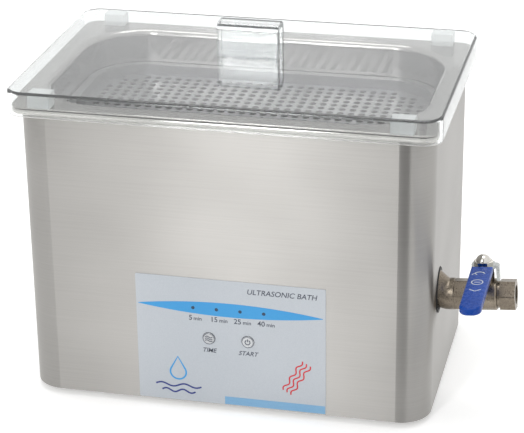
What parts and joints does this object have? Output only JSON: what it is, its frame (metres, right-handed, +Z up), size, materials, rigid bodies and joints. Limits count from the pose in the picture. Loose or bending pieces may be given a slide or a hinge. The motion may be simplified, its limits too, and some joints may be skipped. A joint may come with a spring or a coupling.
{
  "type": "ultrasonic cleaner",
  "caption": "Bench-top stainless ultrasonic cleaner with clear lift-off lid, perforated tray, front keypad, rear mains inlet and side drain ball valve.",
  "frame": {"origin": "centre of the case footprint on the surface that the feet stand on", "axes": "+X to the right side with the drain valve, -Y to the control panel, +Z up"},
  "size_m": [0.3145, 0.1931, 0.231],
  "materials": {
    "case_steel": "brushed, horizontal grain",
    "tank_steel": "drawn stainless, satin to bright",
    "tray_steel": "perforated stainless",
    "seal_rubber": "matt black",
    "foot_rubber": "matt black",
    "screw_steel": "zinc plated",
    "clear_acrylic": "clear polished sheet",
    "overlay_film": "printed polyester film",
    "button_metal": "anodised",
    "led_clear": "tinted clear",
    "board_green": "solder resist",
    "part_black": "moulded black",
    "part_metal": "machined",
    "piezo": "silvered ceramic",
    "tail_steel": "turned steel",
    "heater_silicone": "silicone",
    "core_ferrite": "ferrite",
    "valve_nickel": "nickel plated, satin",
    "valve_chrome": "polished",
    "seat_ptfe": "white",
    "lever_steel": "bright zinc",
    "sleeve_vinyl": "dipped vinyl, gloss",
    "inlet_plastic": "moulded black",
    "pin_brass": "plated",
    "fuse_glass": "clear"
  },
  "bodies": {
    "case": {"housing_shell": "case_steel", "base_plate": "case_steel", "rubber_feet": "foot_rubber", "foot_screws": "screw_steel", "base_screws": "screw_steel", "rim_seal": "seal_rubber", "tank": "tank_steel", "drain_stub": "tank_steel", "panel_overlay": "overlay_film", "key_switches": "part_black", "indicator_leds": "led_clear", "control_board": "board_green", "board_studs": "screw_steel", "transducer_heads": "part_metal", "piezo_rings": "piezo", "transducer_tails": "tail_steel", "transducer_bolts": "screw_steel", "heater_pad": "heater_silicone", "thermostat": "part_black", "driver_board": "board_green", "board_spacers": "part_metal", "transformer": "core_ferrite", "heat_sink": "part_metal", "transistors": "part_black", "capacitors": "part_black", "street_elbow": "valve_nickel", "drain_grommet": "seal_rubber", "valve_body": "valve_nickel", "valve_end": "valve_nickel", "ball_seats": "seat_ptfe", "gland_nut": "valve_nickel", "inlet_body": "inlet_plastic", "inlet_pins": "pin_brass", "inlet_screws": "screw_steel", "switch_bezel": "inlet_plastic"},
    "lid": {"lid": "clear_acrylic", "lid_rails": "clear_acrylic", "lid_handle": "clear_acrylic"},
    "basket": {"basket_frame": "tray_steel", "basket_floor": "tray_steel"},
    "valve_lever": {"lever_arm": "lever_steel", "lever_sleeve": "sleeve_vinyl", "lever_nut": "valve_chrome", "valve_stem": "valve_nickel", "valve_ball": "valve_chrome"},
    "time_button": {"time_button": "button_metal"},
    "start_button": {"start_button": "button_metal"},
    "fuse_drawer": {"fuse_drawer": "inlet_plastic", "fuse_link": "fuse_glass"},
    "switch_rocker": {"switch_rocker": "inlet_plastic"}
  },
  "joints": [
    {"name": "lid_lift", "type": "slide", "parent": "case", "child": "lid", "axis": [0, 0, 1], "range_m": [0, 0.25]},
    {"name": "basket_lift", "type": "slide", "parent": "case", "child": "basket", "axis": [0, 0, 1], "range_m": [0, 0.1]},
    {"name": "lever_turn", "type": "hinge", "parent": "case", "child": "valve_lever", "pos_m": [0.15834, -0.04, 0.08885], "axis": [-0.0802, 0, 0.9968], "range_deg": [0, 90]},
    {"name": "time_press", "type": "slide", "parent": "case", "child": "time_button", "axis": [0, 1, 0], "range_m": [0, 0.0006], "stiffness_N_per_m": 2500},
    {"name": "start_press", "type": "slide", "parent": "case", "child": "start_button", "axis": [0, 1, 0], "range_m": [0, 0.0006], "stiffness_N_per_m": 2500},
    {"name": "fuse_drawer_slide", "type": "slide", "parent": "case", "child": "fuse_drawer", "axis": [0, 1, 0], "range_m": [0, 0.018]},
    {"name": "rocker_tip", "type": "hinge", "parent": "case", "child": "switch_rocker", "pos_m": [-0.028, 0.0795, 0.038], "axis": [1, 0, 0], "range_deg": [0, 16]}
  ],
  "couplings": [
    {"joint": "basket_lift", "follows": "lid_lift", "ratio": 0.4}
  ]
}
